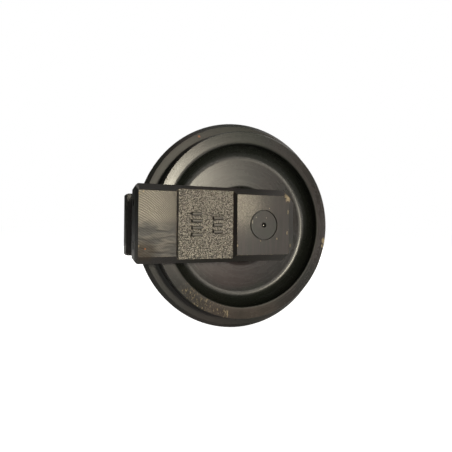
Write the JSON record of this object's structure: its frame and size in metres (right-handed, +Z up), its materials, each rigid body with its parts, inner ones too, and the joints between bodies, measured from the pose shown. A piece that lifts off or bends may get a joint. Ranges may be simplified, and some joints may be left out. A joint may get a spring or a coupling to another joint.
{
  "type": "front idler assembly",
  "caption": "Flanged track idler wheel turning on a fixed shaft between two mirrored sliding brackets with rearward tails.",
  "frame": {"origin": "centre of the wheel, on the shaft's axis, in the middle plane of the guide flange", "axes": "+Y along the wheel's axis towards the far bracket, +Z up, brackets' tails towards -X"},
  "size_m": [0.34, 0.179, 0.33],
  "materials": {
    "turned_paint": "satin charcoal paint over turned steel",
    "cast_paint": "satin charcoal paint over as-cast and milled faces",
    "ground_steel": "ground, with painted-over ends",
    "bronze": "sintered bronze on steel",
    "lapped_iron": "lapped on the sealing face",
    "seal_rubber": "matt",
    "spring_steel": "black oxide",
    "copper_washer": "soft copper"
  },
  "bodies": {
    "carrier": {"near_bracket": "cast_paint", "far_bracket": "cast_paint", "shaft": "ground_steel", "near_lock_pin": "spring_steel", "far_lock_pin": "spring_steel", "near_bracket_seal_ring": "lapped_iron", "far_bracket_seal_ring": "lapped_iron", "near_bracket_toric_ring": "seal_rubber", "far_bracket_toric_ring": "seal_rubber", "near_shaft_o_ring": "seal_rubber", "far_shaft_o_ring": "seal_rubber", "oil_plug": "spring_steel", "oil_plug_washer": "copper_washer"},
    "wheel": {"idler_wheel": "turned_paint", "near_bush": "bronze", "far_bush": "bronze", "near_wheel_seal_ring": "lapped_iron", "far_wheel_seal_ring": "lapped_iron", "near_wheel_toric_ring": "seal_rubber", "far_wheel_toric_ring": "seal_rubber"}
  },
  "joints": [
    {"name": "wheel_spin", "type": "hinge", "parent": "carrier", "child": "wheel", "pos_m": [0, 0, 0], "axis": [0, 1, 0], "continuous": true}
  ]
}
